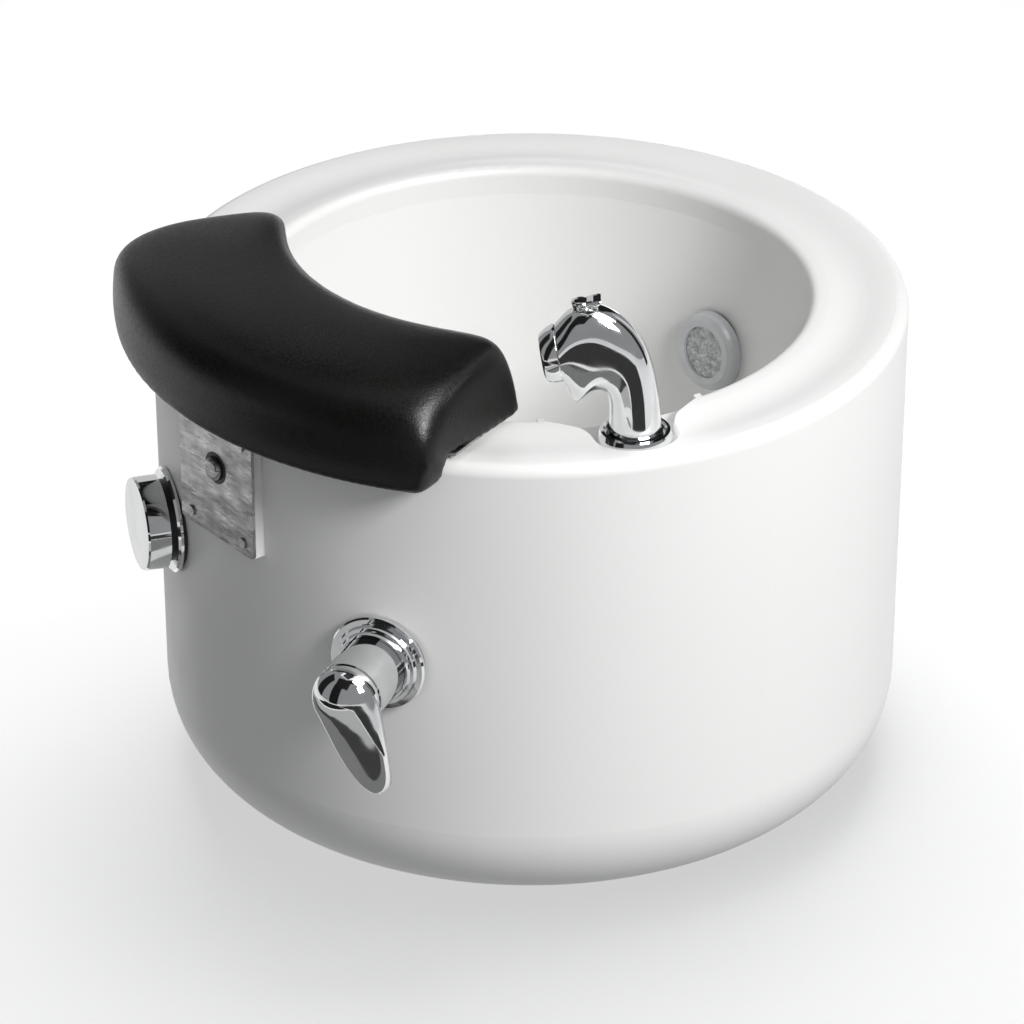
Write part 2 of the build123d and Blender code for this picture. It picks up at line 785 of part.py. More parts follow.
# ---------------------------------------------------------------- hand spray holder
holder_centre = around(holder_radius, holder_angle, 0)
holder = level(0, spray_heading, holder_centre)
nut_radius = 9.5
hose_radius = 5.5
neck_radius = 18.7
shelf = 372.0

with BuildPart() as holder_gasket:
    add(turned(holder, tube(sleeve_radius + gap, 24, pocket_floor, pocket_floor + 1)))
save(holder_gasket, "holder_gasket")

with BuildPart() as holder_ring:
    bore = sleeve_radius + gap
    foot = [(bore, pocket_floor + 1), (26.5, pocket_floor + 1), (26.5, 372)]
    add(turned(holder, foot + [(24.5, 377), (22.3, 377.5), (21, 376), (20.2, shelf), (bore, shelf)]))
save(holder_ring, "holder_ring")

with BuildPart() as holder_sleeve:
    add(turned(holder, tube(11.5, sleeve_radius, 325, shelf - gap)))
save(holder_sleeve, "holder_sleeve")

with BuildPart() as holder_locknut:
    with BuildSketch(level(tray_bottom - 8, holder_angle, holder_centre)):
        RegularPolygon(18.4, 12)
        Circle(sleeve_radius + 0.05, mode=Mode.SUBTRACT)
    extrude(amount=7.9)
save(holder_locknut, "holder_locknut")

# ---------------------------------------------------------------- hand spray
spray_base = shelf + gap
nut_low = 350.0
nut_high = 392.0
tail_top = 366.0
hose_join = 158.0
with BuildPart() as hose_nut:
    add(turned(holder, tube(hose_radius, nut_radius, nut_low, tail_top)))
    add(turned(holder, tube(0, nut_radius, tail_top, nut_high)))
save(hose_nut, "hose_nut")

with BuildPart() as hose_tail:
    add(turned(holder, tube(0, hose_radius, hose_join, tail_top)))
save(hose_tail, "hose_tail")

with BuildPart() as hose_weight:
    add(turned(holder, tube(hose_radius, 15, 164, 202)))
save(hose_weight, "hose_weight")

nozzle_normal = (37 / 37.66, -7 / 37.66)
spray_side = Plane(origin=(*holder_centre[:2], 377), x_dir=holder.x_dir, z_dir=-holder.y_dir)
nozzle = Plane(
    origin=spray_side.from_local_coords((52.6, 59.0, 0)),
    x_dir=spray_side.z_dir,
    z_dir=spray_side.x_dir * nozzle_normal[0] + spray_side.y_dir * nozzle_normal[1],
)
toggle_axis = (34.0, 92.0)
toggle_pin_plane = Plane(
    origin=spray_side.from_local_coords((*toggle_axis, 0)), x_dir=spray_side.x_dir, z_dir=spray_side.z_dir
)
toggle_floor = Plane(
    origin=spray_side.from_local_coords((34, 86, 0)), x_dir=spray_side.x_dir, z_dir=spray_side.y_dir
)
with BuildPart() as handset_body:
    with BuildSketch(spray_side) as profile:
        with BuildLine():
            Polyline(
                (-17.5, 3), (-11, 60), (1, 82), (14, 91), (30, 94), (44, 89), (56.1, 77.5),
                (49.1, 40.5), (41, 25), (31, 24), (27, 31), (18.5, 27), (17.5, 3), close=True,
            )
        make_face()
        softened = [((-11, 60), 30), ((1, 82), 14), ((30, 94), 20), ((18.5, 27), 3), ((27, 31), 2)]
        round_corners(profile, softened)
    extrude(amount=17.5, both=True)
    sides = handset_body.faces().sort_by(axis_of(spray_side))
    fillet(sides[0].edges() + sides[-1].edges(), 5)
    add(turned(holder, tube(0, neck_radius, spray_base, 386)))
    add(turned(holder, tube(0, nut_radius + fit, spray_base - 1, nut_high + gap)), mode=Mode.SUBTRACT)
    with BuildSketch(toggle_floor):
        Circle(8)
    extrude(amount=12, mode=Mode.SUBTRACT)
    with BuildSketch(toggle_pin_plane):
        Circle(1)
    extrude(amount=11, both=True, mode=Mode.SUBTRACT)
save(handset_body, "handset_body")

with BuildPart() as toggle_pin:
    with BuildSketch(toggle_pin_plane):
        Circle(1)
    extrude(amount=10.5, both=True)
save(toggle_pin, "toggle_pin")

with BuildPart() as spray_toggle:
    with BuildSketch(spray_side):
        with BuildLine():
            Polyline(
                (24, 97.3), (25.5, 99.8), (32.5, 102), (40, 100), (45, 97), (44.6, 95.6),
                (37.5, 95.6), (37, 89.5), (31, 89.5), (30.5, 96.2), close=True,
            )
        make_face()
    extrude(amount=7, both=True)
    with BuildSketch(toggle_pin_plane):
        Circle(1 + fit)
    extrude(amount=8, both=True, mode=Mode.SUBTRACT)
    with BuildSketch(toggle_floor):
        Circle(30)
        Rectangle(6.5, 8, mode=Mode.SUBTRACT)
    extrude(amount=9.4, mode=Mode.SUBTRACT)
save(spray_toggle, "spray_toggle")

collar_rim = 18.5
face_radius = 14.0
with BuildPart() as nozzle_collar:
    add(turned(nozzle, [(face_radius, 0), (collar_rim, 0), (collar_rim, 5.5), (16.5, 8), (face_radius, 8)]))
save(nozzle_collar, "nozzle_collar")

with BuildPart() as spray_face:
    add(turned(nozzle, tube(0, face_radius, 0, 6.5)))
    with BuildSketch(nozzle.offset(6.5)):
        with PolarLocations(10.5, 12):
            Circle(0.9)
        with PolarLocations(5.5, 6):
            Circle(0.9)
        Circle(0.9)
    extrude(amount=0.9)
save(spray_face, "spray_face")

# The hose drops from the mixer's outlet, turns under the basin's edge and rises to the pull-out tail.
hose_start = mixer.from_local_coords((outlet_side, -outlet_drop, port_depth))
with BuildPart() as handset_hose:
    with BuildLine() as hose_line:
        cord_path(
            [
                hose_start,
                (hose_start.X, hose_start.Y, 108),
                around(230, 317.5, 72),
                around(230, 331, 72),
                around(holder_radius, holder_angle, 108),
                around(holder_radius, holder_angle, hose_join),
            ]
        )
    with BuildSketch(Plane(origin=hose_line.line @ 0, z_dir=hose_line.line % 0)):
        Circle(hose_radius)
    sweep()
save(handset_hose, "handset_hose")
compare_cord(handset_hose, hose_line, hose_radius)

# ---------------------------------------------------------------- lamp, along its axis into the basin
lens_radius = 20.0
bezel_radius = 30.0
bezel_base = 2.5
with BuildPart() as lamp_gasket:
    add(turned(lamp_plane, tube(lamp_barrel + 1, bezel_radius - 1, -1, bezel_base)))
    add(basin.part, mode=Mode.SUBTRACT)
save(lamp_gasket, "lamp_gasket")

with BuildPart() as lamp_bezel:
    ledge = 6.0
    bore = lamp_barrel + 0.05
    outside = [(bore, bezel_base), (bezel_radius, bezel_base), (bezel_radius, 9), (28.5, 11.5), (25, 13)]
    add(turned(lamp_plane, outside + [(lens_radius, 13), (lens_radius, ledge), (bore, ledge)]))
save(lamp_bezel, "lamp_bezel")

with BuildPart() as lamp_body:
    add(turned(lamp_plane, tube(0, lamp_barrel, -28, -25), tube(14, lamp_barrel, -25, ledge)))
    add(turned(lamp_plane, tube(3, 6, -36, -28)))
save(lamp_body, "lamp_body")

with BuildPart() as lamp_led_board:
    add(turned(lamp_plane, tube(0, 13.9, -4, -2)))
save(lamp_led_board, "lamp_led_board")

with BuildPart() as lamp_lens:
    add(turned(lamp_plane, tube(0, lens_radius - 0.05, ledge, 11)))
    with BuildSketch(lamp_plane.offset(11)):
        with PolarLocations(14.5, 12):
            Circle(2.6)
        with PolarLocations(8, 6):
            Circle(2.6)
        Circle(2.6)
    extrude(amount=1.2, taper=40)
save(lamp_lens, "lamp_lens")

with BuildPart() as lamp_locknut:
    with BuildSketch(lamp_plane.offset(-14)):
        RegularPolygon(25, 8)
        Circle(lamp_barrel + 0.05, mode=Mode.SUBTRACT)
    extrude(amount=8.6)
save(lamp_locknut, "lamp_locknut")
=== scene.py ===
import json
from math import cos, exp, hypot, pi, radians, sin, sqrt

import bmesh
import bpy
from mathutils import Matrix, Vector


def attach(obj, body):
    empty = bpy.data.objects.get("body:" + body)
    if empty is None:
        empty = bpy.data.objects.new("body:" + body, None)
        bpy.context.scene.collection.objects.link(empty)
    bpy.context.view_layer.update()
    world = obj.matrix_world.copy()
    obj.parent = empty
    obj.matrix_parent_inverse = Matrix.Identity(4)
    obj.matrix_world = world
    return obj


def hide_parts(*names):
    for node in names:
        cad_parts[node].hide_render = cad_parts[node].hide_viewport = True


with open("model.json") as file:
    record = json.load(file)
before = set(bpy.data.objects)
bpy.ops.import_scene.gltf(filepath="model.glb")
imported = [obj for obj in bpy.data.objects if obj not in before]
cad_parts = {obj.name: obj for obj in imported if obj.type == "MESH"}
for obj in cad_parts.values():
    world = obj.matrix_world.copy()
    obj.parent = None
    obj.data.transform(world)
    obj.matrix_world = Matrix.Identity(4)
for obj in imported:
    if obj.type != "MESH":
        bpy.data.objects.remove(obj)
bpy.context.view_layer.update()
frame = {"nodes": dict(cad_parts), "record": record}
nodes = frame["nodes"]
scene = bpy.context.scene

# Lengths of the pieces are in millimetres until a mesh is made, which is in metres.
MM = 0.001


def outward(azimuth, elevation):
    """Unit vector from the object towards an azimuth (0 is -Y, +90 is +X) and an elevation, in radians."""
    return Vector((sin(azimuth) * cos(elevation), -cos(azimuth) * cos(elevation), sin(elevation)))


# ---------------------------------------------------------------- camera
TARGET = Vector((0.0, 0.0, 0.1879))
DISTANCE = 4.4476
AZIMUTH = radians(52.0)
ELEVATION = radians(28.673)

camera = bpy.data.objects.new("camera", bpy.data.cameras.new("camera"))
scene.collection.objects.link(camera)
camera.data.lens = 210.94
camera.data.shift_x = -0.01772
camera.data.shift_y = 0.00466
camera.data.clip_end = 40.0
towards = outward(AZIMUTH, ELEVATION)
camera.location = TARGET + towards * DISTANCE
camera.rotation_euler = (-towards).to_track_quat("-Z", "Y").to_euler()
scene.camera = camera


# ---------------------------------------------------------------- materials
def material(name, base, roughness, metallic=0.0, **inputs):
    """A Principled material whose shader sockets are set directly. Returns it with its node tree's parts."""
    made = bpy.data.materials.new(name)
    made.use_nodes = True
    shader = made.node_tree.nodes["Principled BSDF"]
    shader.inputs["Base Color"].default_value = (*base[:3], 1.0)
    shader.inputs["Roughness"].default_value = roughness
    shader.inputs["Metallic"].default_value = metallic
    for socket, value in inputs.items():
        shader.inputs[socket.replace("_", " ")].default_value = value
    return made


def noise(made, scale, detail=3.0, stretch=(1, 1, 1), kind="noise"):
    """A noise or cell texture in the object's own space, with features about 1 / scale metres across."""
    tree = made.node_tree
    place = tree.nodes.new("ShaderNodeTexCoord")
    size = tree.nodes.new("ShaderNodeMapping")
    size.inputs["Scale"].default_value = stretch
    tree.links.new(place.outputs["Object"], size.inputs["Vector"])
    if kind == "cells":
        texture = tree.nodes.new("ShaderNodeTexVoronoi")
        value = texture.outputs["Distance"]
    else:
        texture = tree.nodes.new("ShaderNodeTexNoise")
        texture.inputs["Detail"].default_value = detail
        value = texture.outputs["Fac"]
    texture.inputs["Scale"].default_value = scale
    tree.links.new(size.outputs["Vector"], texture.inputs["Vector"])
    return value


def spread(made, value, low, high, start=0.35, stop=0.65):
    """Maps a texture's value between start and stop onto low to high."""
    ranged = made.node_tree.nodes.new("ShaderNodeMapRange")
    for socket, number in zip(("From Min", "From Max", "To Min", "To Max"), (start, stop, low, high)):
        ranged.inputs[socket].default_value = number
    made.node_tree.links.new(value, ranged.inputs["Value"])
    return ranged.outputs["Result"]


def shade(made, value, dark, light, start=0.35, stop=0.65):
    """Drives the base colour between two colours by a texture's value."""
    ramp = made.node_tree.nodes.new("ShaderNodeValToRGB")
    ramp.color_ramp.elements[0].position = start
    ramp.color_ramp.elements[1].position = stop
    ramp.color_ramp.elements[0].color = (*dark, 1.0)
    ramp.color_ramp.elements[1].color = (*light, 1.0)
    target = made.node_tree.nodes["Principled BSDF"].inputs["Base Color"]
    made.node_tree.links.new(value, ramp.inputs["Fac"])
    made.node_tree.links.new(ramp.outputs["Color"], target)


def roughen(made, value, low, high, start=0.35, stop=0.65):
    """Drives the roughness between two values by a texture's value."""
    target = made.node_tree.nodes["Principled BSDF"].inputs["Roughness"]
    made.node_tree.links.new(spread(made, value, low, high, start, stop), target)


def bump(made, *layers):
    """Stacks bumps, each a (texture value, height in metres, strength)."""
    tree = made.node_tree
    normal = None
    for value, height, strength in layers:
        relief = tree.nodes.new("ShaderNodeBump")
        relief.inputs["Distance"].default_value = height
        relief.inputs["Strength"].default_value = strength
        tree.links.new(value, relief.inputs["Height"])
        if normal:
            tree.links.new(normal, relief.inputs["Normal"])
        normal = relief.outputs["Normal"]
    tree.links.new(normal, tree.nodes["Principled BSDF"].inputs["Normal"])


white_shell = material(
    "white_gelcoat", (0.83, 0.83, 0.815), 0.4, Coat_Weight=0.08, Coat_Roughness=0.2, Specular_IOR_Level=0.35
)
shade(white_shell, noise(white_shell, 3.0), (0.825, 0.825, 0.812), (0.84, 0.84, 0.828))
roughen(white_shell, noise(white_shell, 14.0, 4.0), 0.37, 0.44)
bump(white_shell, (noise(white_shell, 45.0, 2.0), 0.0002, 0.06))

chrome = material("chrome", (0.82, 0.83, 0.84), 0.045, 1.0)
shade(chrome, noise(chrome, 40.0), (0.78, 0.79, 0.8), (0.86, 0.865, 0.87))
roughen(chrome, noise(chrome, 90.0, 5.0), 0.03, 0.1)
bump(chrome, (noise(chrome, 45.0, 1.0), 0.0004, 0.08))

plate_steel = material("rolled_steel", (0.52, 0.515, 0.51), 0.24, 1.0)
shade(plate_steel, noise(plate_steel, 60.0, 4.0), (0.32, 0.315, 0.315), (0.52, 0.515, 0.51))
roughen(plate_steel, noise(plate_steel, 50.0, 5.0, (1, 1, 2)), 0.2, 0.42)
bump(
    plate_steel,
    (noise(plate_steel, 38.0, 3.0, (0.6, 1, 1.6)), 0.004, 0.45),
    (noise(plate_steel, 900.0, 2.0, (0.1, 1, 1)), 0.0001, 0.3),
)

screw_steel = material("screw_steel", (0.55, 0.55, 0.56), 0.3, 1.0)
shade(screw_steel, noise(screw_steel, 300.0), (0.4, 0.4, 0.41), (0.62, 0.62, 0.63))
bump(screw_steel, (noise(screw_steel, 700.0, 2.0), 0.0001, 0.3))

cushion_skin = material("moulded_foam_skin", (0.0036, 0.0037, 0.0033), 0.34, Specular_IOR_Level=0.3)
shade(cushion_skin, noise(cushion_skin, 24.0, 4.0), (0.003, 0.003, 0.0027), (0.0048, 0.0048, 0.0042))
roughen(cushion_skin, noise(cushion_skin, 420.0, 3.0), 0.3, 0.4)
bump(
    cushion_skin,
    (noise(cushion_skin, 620.0, kind="cells"), 0.0004, 0.2),
    (noise(cushion_skin, 1500.0, 2.0), 0.0002, 0.18),
)

black_plastic = material("black_plastic", (0.018, 0.018, 0.018), 0.45)
shade(black_plastic, noise(black_plastic, 60.0), (0.014, 0.014, 0.014), (0.026, 0.026, 0.026))
bump(black_plastic, (noise(black_plastic, 1200.0, 2.0), 0.0001, 0.3))

grey_plastic = material("grey_plastic", (0.62, 0.635, 0.65), 0.32)
shade(grey_plastic, noise(grey_plastic, 40.0), (0.58, 0.6, 0.615), (0.66, 0.67, 0.685))
bump(grey_plastic, (noise(grey_plastic, 500.0, 2.0), 0.0001, 0.2))

white_plastic = material("white_plastic", (0.7, 0.7, 0.69), 0.45)
shade(white_plastic, noise(white_plastic, 30.0), (0.66, 0.66, 0.65), (0.74, 0.74, 0.73))
bump(white_plastic, (noise(white_plastic, 800.0, 2.0), 0.0001, 0.25))

lens_glass = material("lamp_lens", (0.62, 0.64, 0.65), 0.16, Coat_Weight=0.5, Coat_Roughness=0.08)
shade(lens_glass, noise(lens_glass, 260.0, 3.0), (0.36, 0.38, 0.385), (0.82, 0.83, 0.835), 0.3, 0.7)
bump(lens_glass, (noise(lens_glass, 330.0, kind="cells"), 0.0012, 0.8))

seal_rubber = material("seal_rubber", (0.03, 0.03, 0.03), 0.6)
shade(seal_rubber, noise(seal_rubber, 80.0), (0.024, 0.024, 0.024), (0.04, 0.04, 0.04))
bump(seal_rubber, (noise(seal_rubber, 900.0, 2.0), 0.0001, 0.3))

brass = material("brass", (0.72, 0.55, 0.28), 0.3, 1.0)
shade(brass, noise(brass, 60.0, 4.0), (0.6, 0.44, 0.2), (0.78, 0.62, 0.34))
roughen(brass, noise(brass, 120.0), 0.24, 0.4)

hose_black = material("braided_hose", (0.05, 0.05, 0.055), 0.45)
shade(hose_black, noise(hose_black, 900.0, kind="cells"), (0.03, 0.03, 0.033), (0.16, 0.16, 0.17), 0.1, 0.6)
bump(hose_black, (noise(hose_black, 900.0, kind="cells"), 0.0005, 0.6))

board = material("circuit_board", (0.8, 0.8, 0.74), 0.5)
shade(board, noise(board, 500.0, kind="cells"), (0.86, 0.8, 0.3), (0.82, 0.82, 0.78), 0.12, 0.3)

spray_grey = material("spray_face_rubber", (0.05, 0.05, 0.053), 0.5)
shade(spray_grey, noise(spray_grey, 200.0), (0.04, 0.04, 0.042), (0.07, 0.07, 0.074))
bump(spray_grey, (noise(spray_grey, 900.0, 2.0), 0.0001, 0.3))

LOOKS = {
    "white_shell": white_shell,
    "chrome": chrome,
    "steel": plate_steel,
    "black_cushion": cushion_skin,
    "black_plastic": black_plastic,
    "grey_plastic": grey_plastic,
    "white_plastic": white_plastic,
    "clear_lens": lens_glass,
    "seal_rubber": seal_rubber,
    "brass": brass,
    "hose_black": hose_black,
    "circuit_board": board,
    "spray_grey": spray_grey,
}
slots = {s["node"]: s["material_slot"] for s in frame["record"]["subparts"]}
for name, node in nodes.items():
    look = LOOKS[slots[name]]
    if "screw" in name or name in ("button_spring", "lever_pin", "toggle_pin"):
        look = screw_steel
    node.data.materials.clear()
    node.data.materials.append(look)


# ---------------------------------------------------------------- mesh helpers
def piece(name, mesh, look, slot, body, *replaced):
    """Links a mesh as a piece that rides on a body and stands for CAD nodes."""
    made = bpy.data.objects.new(name, mesh)
    scene.collection.objects.link(made)
    mesh.materials.clear()
    mesh.materials.append(look)
    for polygon in mesh.polygons:
        polygon.use_smooth = True
    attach(made, body)
    if replaced:
        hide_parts(*replaced)
    return made


def mesh_of(name, vertices, faces):
    """A closed mesh in metres from points in millimetres, doubles merged and normals outwards."""
    work = bmesh.new()
    points = [work.verts.new(Vector(v) * MM) for v in vertices]
    for face in faces:
        work.faces.new([points[i] for i in face])
    bmesh.ops.remove_doubles(work, verts=work.verts, dist=0.00002)
    bmesh.ops.recalc_face_normals(work, faces=work.faces)
    mesh = bpy.data.meshes.new(name)
    work.to_mesh(mesh)
    work.free()
    return mesh


def loft(name, rings, cap=True):
    """Skins closed rings of the same number of points, in order, and caps both ends."""
    count = len(rings[0])
    vertices = [p for ring in rings for p in ring]
    faces = []
    for r in range(len(rings) - 1):
        for i in range(count):
            j = (i + 1) % count
            faces.append((r * count + i, r * count + j, (r + 1) * count + j, (r + 1) * count + i))
    if cap:
        faces.append(tuple(reversed(range(count))))
        last = (len(rings) - 1) * count
        faces.append(tuple(range(last, last + count)))
    return mesh_of(name, vertices, faces)


def catmull_rom(p, q, r, w, t):
    """Value between q and r at t from 0 to 1, with p before them and w after."""
    square = 2 * p - 5 * q + 4 * r - w
    cube = 3 * q - p - 3 * r + w
    return 0.5 * (2 * q + (r - p) * t + square * t * t + cube * t**3)


def smooth_path(stations, steps):
    """A smooth curve through rows of numbers, with steps between neighbours."""
    rows = []
    for i in range(len(stations) - 1):
        a, b, c, d = (stations[min(max(i + k, 0), len(stations) - 1)] for k in (-1, 0, 1, 2))
        for s in range(steps):
            rows.append([catmull_rom(*values, s / steps) for values in zip(a, b, c, d)])
    rows.append(list(stations[-1]))
    return rows


def join(name, *meshes):
    """One mesh out of several."""
    work = bmesh.new()
    for mesh in meshes:
        work.from_mesh(mesh)
        bpy.data.meshes.remove(mesh)
    joined = bpy.data.meshes.new(name)
    work.to_mesh(joined)
    work.free()
    return joined


def evaluated(target):
    """The object's mesh with its modifiers applied."""
    bpy.context.view_layer.update()
    return bpy.data.meshes.new_from_object(target.evaluated_get(bpy.context.evaluated_depsgraph_get()))


def revolved(name, profile, segments=160):
    """Solid of revolution about Z from a closed (radius, height) profile that starts and ends on the axis."""
    rings = [
        [(r * cos(2 * pi * i / segments), r * sin(2 * pi * i / segments), z) for i in range(segments)]
        for r, z in profile
    ]
    return loft(name, rings, cap=False)


# ---------------------------------------------------------------- footrest cushion
def cushion_outline(inner, outer, end_inner, end_outer, softness):
    """Plan of the cushion at one height: a ring sector with slanted ends and softened corners."""
    turn_in = radians(end_inner)
    turn_out = radians(end_outer)
    near = (inner * sin(turn_in), -inner * cos(turn_in))
    far = (outer * sin(turn_out), -outer * cos(turn_out))
    points = []
    for i in range(100):
        a = turn_in * (2 * i / 100 - 1)
        points.append((inner * sin(a), -inner * cos(a)))
    for i in range(40):
        points.append(tuple(p + (q - p) * i / 40 for p, q in zip(near, far)))
    for i in range(130):
        a = turn_out * (1 - 2 * i / 130)
        points.append((outer * sin(a), -outer * cos(a)))
    for i in range(40):
        x, y = (q + (p - q) * i / 40 for p, q in zip(near, far))
        points.append((-x, y))
    reach = int(softness * 3)
    weights = [exp(-0.5 * (k / softness) ** 2) for k in range(-reach, reach + 1)]
    total = sum(weights)
    count = len(points)
    return [
        (
            sum(w * points[(i + k - reach) % count][0] for k, w in enumerate(weights)) / total,
            sum(w * points[(i + k - reach) % count][1] for k, w in enumerate(weights)) / total,
        )
        for i in range(count)
    ]


# height, inner and outer radius, angles from -Y of the end's inner and outer corner, corner softness
CUSHION_LAYERS = [
    (361.8, 201.0, 298.0, 47.0, 37.4, 1.2),
    (365.0, 200.0, 301.0, 47.6, 37.6, 1.2),
    (378.0, 197.0, 302.5, 50.4, 38.2, 1.4),
    (390.0, 191.0, 302.0, 50.6, 38.5, 2.2),
    (402.0, 185.0, 301.0, 50.2, 38.5, 3.2),
    (412.0, 180.5, 297.8, 49.8, 38.4, 4.8),
    (420.0, 177.5, 292.0, 49.4, 38.3, 6.5),
    (426.0, 177.0, 283.0, 48.6, 38.0, 8.0),
    (430.0, 180.0, 271.0, 46.6, 37.3, 8.5),
    (432.2, 186.0, 257.5, 42.0, 35.3, 8.5),
    (433.4, 194.0, 244.0, 35.8, 32.0, 7.5),
    (434.0, 203.0, 231.0, 30.0, 28.5, 6.0),
    (434.3, 212.0, 221.0, 24.8, 24.6, 3.0),
]


# Section of what the cushion is cut to: the rim with a little air, as (radius, height).
RIM_CUT = [(0, 300), (276.5, 300), (276.5, 379), (273, 383), (258, 382.6), (236, 378.2), (0, 378.2)]
CUSHION_VOXEL = 0.0032      # metres


def build_cushion():
    """A moulded cushion: lofted layers, cut to the rim, remeshed evenly and smoothed."""
    rings = []
    for z, *plan in smooth_path(CUSHION_LAYERS, 3):
        rings.append([(x, y, z) for x, y in cushion_outline(*plan)])
    rough = bpy.data.objects.new("cushion_rough", loft("cushion_rough", rings))
    cutter = bpy.data.objects.new("cushion_cutter", revolved("cushion_cutter", RIM_CUT))
    scene.collection.objects.link(rough)
    scene.collection.objects.link(cutter)
    cut = rough.modifiers.new("cut", "BOOLEAN")
    cut.operation = "DIFFERENCE"
    cut.solver = "EXACT"
    cut.object = cutter
    even = rough.modifiers.new("even", "REMESH")
    even.mode = "VOXEL"
    even.voxel_size = CUSHION_VOXEL
    relax = rough.modifiers.new("relax", "SMOOTH")
    relax.factor = 0.5
    relax.iterations = 6
    mesh = evaluated(rough)
    for spare in (rough, cutter):
        bpy.data.objects.remove(spare)
    mesh.name = "footrest_pad"
    pad = piece("footrest_pad", mesh, cushion_skin, "black_cushion", "footrest", "footrest_cushion")


build_cushion()


# ---------------------------------------------------------------- hand spray
HOLDER = (230 * cos(radians(340.5)), 230 * sin(radians(340.5)), 377.0)
HEADING = radians(232.0)


def spray_point(u, v, h):
    """Point u towards the nozzle, v to its left and h above the rim, from the holder's centre."""
    return (
        HOLDER[0] + u * cos(HEADING) - v * sin(HEADING),
        HOLDER[1] + u * sin(HEADING) + v * cos(HEADING),
        HOLDER[2] + h,
    )


# outer bend (u, h), inner bend (u, h), half width, squareness
SPRAY_STATIONS = [
    (-18.4, -4.5, 18.4, -4.5, 18.4, 2.0),
    (-18.3, 2.0, 18.4, 2.0, 18.3, 2.0),
    (-17.2, 16.0, 18.0, 13.0, 17.6, 2.0),
    (-15.3, 32.0, 18.6, 24.0, 16.9, 2.1),
    (-12.0, 49.0, 21.0, 30.5, 16.6, 2.2),
    (-6.5, 65.0, 26.0, 33.0, 16.8, 2.3),
    (3.0, 80.0, 33.0, 31.0, 17.4, 2.4),
    (16.0, 91.0, 41.0, 23.5, 18.0, 2.5),
    (31.0, 96.0, 45.2, 27.5, 18.6, 2.4),
    (45.5, 91.8, 47.4, 33.5, 19.0, 2.2),
    (56.6, 80.2, 49.3, 39.6, 19.3, 2.05),
]

# Along the nozzle's axis, from its seat on the body: distance, radius above, below and to the sides.
NOZZLE = (52.6, 59.0)
NOZZLE_AXIS = (37 / 37.66, -7 / 37.66)
SHROUD_OUTSIDE = [
    (0.3, 21.3, 19.6, 19.0),
    (0.9, 21.7, 20.0, 19.3),
    (4.5, 20.6, 20.0, 19.1),
    (8.0, 18.8, 19.6, 18.5),
    (10.8, 16.8, 18.4, 17.4),
    (12.2, 15.6, 16.8, 16.0),
]
SHROUD_INSIDE = [(12.3, 14.9), (11.6, 14.3), (0.3, 14.1)]


def squared(value, power):
    """A sine or cosine pushed outwards, for a superellipse of a given power."""
    return abs(value) ** (2 / power) * (1 if value >= 0 else -1)


def section(station, count=64):
    """Superellipse between two points of the side outline."""
    ou, oh, iu, ih, half, power = station
    ring = []
    for i in range(count):
        a = 2 * pi * i / count
        c, s = squared(cos(a), power), squared(sin(a), power)
        u = (ou + iu) / 2 + c * (ou - iu) / 2
        h = (oh + ih) / 2 + c * (oh - ih) / 2
        ring.append(spray_point(u, s * half, h))
    return ring


def nozzle_station(out, above, under, half):
    """Station across the nozzle's axis, at a distance out from its seat."""
    (u, h), (du, dh) = NOZZLE, NOZZLE_AXIS
    u, h = u + du * out, h + dh * out
    return (u - dh * above, h + du * above, u + dh * under, h - du * under, half, 2.0)


def build_spray():
    """The hand spray's body, and the shroud that stands round its spray face."""
    rings = [section(row) for row in smooth_path(SPRAY_STATIONS, 8)]
    rings.append(section(nozzle_station(0.2, 20.6, 19.0, 18.5)))
    piece("spray_body", loft("spray_body", rings), chrome, "chrome", "handset", "handset_body")
    outside = smooth_path(SHROUD_OUTSIDE, 5)
    inside = [(out, radius, radius, radius) for out, radius in SHROUD_INSIDE]
    rings = [section(nozzle_station(*row)) for row in outside + inside + [outside[0]]]
    shroud = loft("nozzle_shroud", rings, cap=False)
    piece("nozzle_shroud", shroud, chrome, "chrome", "handset", "nozzle_collar")


build_spray()


# ---------------------------------------------------------------- thumb toggle on the hand spray
# height above the rim, radius of the round barrel
BARREL = [(88.5, 5.6), (93.0, 6.0), (96.5, 6.8), (98.4, 7.0), (99.6, 6.4), (100.2, 4.4)]
BARREL_U = 38.0
PLATE_POWER = 5.0           # how square the plate's section is
RIDGE = 0.45                # height of the grip's ridges
RIDGED_BELOW = 30.0         # the ridges are on the part of the plate with u under this
# u, height, half thickness, half width of the plate that the thumb pushes
THUMB_PLATE = [
    (38.5, 97.0, 2.2, 5.6),
    (35.0, 97.9, 2.1, 6.1),
    (31.5, 98.8, 2.0, 6.6),
    (28.0, 99.6, 1.9, 7.0),
    (25.6, 100.1, 1.8, 7.1),
    (24.4, 100.3, 1.0, 6.4),
]


def build_toggle():
    """The thumb toggle: a round barrel and a thin ridged plate, seen as one piece."""
    barrel = [
        [spray_point(BARREL_U + r * cos(2 * pi * i / 48), r * sin(2 * pi * i / 48), h) for i in range(48)]
        for h, r in BARREL
    ]
    plate = []
    for step, (u, h, thick, half) in enumerate(smooth_path(THUMB_PLATE, 6)):
        ridge = RIDGE if u < RIDGED_BELOW and step % 2 else 0.0
        ring = []
        for i in range(48):
            a = 2 * pi * i / 48
            c, q = squared(cos(a), PLATE_POWER), squared(sin(a), PLATE_POWER)
            ring.append(spray_point(u, q * half, h + c * thick + (ridge if c > 0 else 0.0)))
        plate.append(ring)
    joined = join("thumb_toggle", loft("toggle_barrel", barrel), loft("toggle_plate", plate))
    piece("thumb_toggle", joined, chrome, "chrome", "spray_toggle", "spray_toggle")


build_toggle()


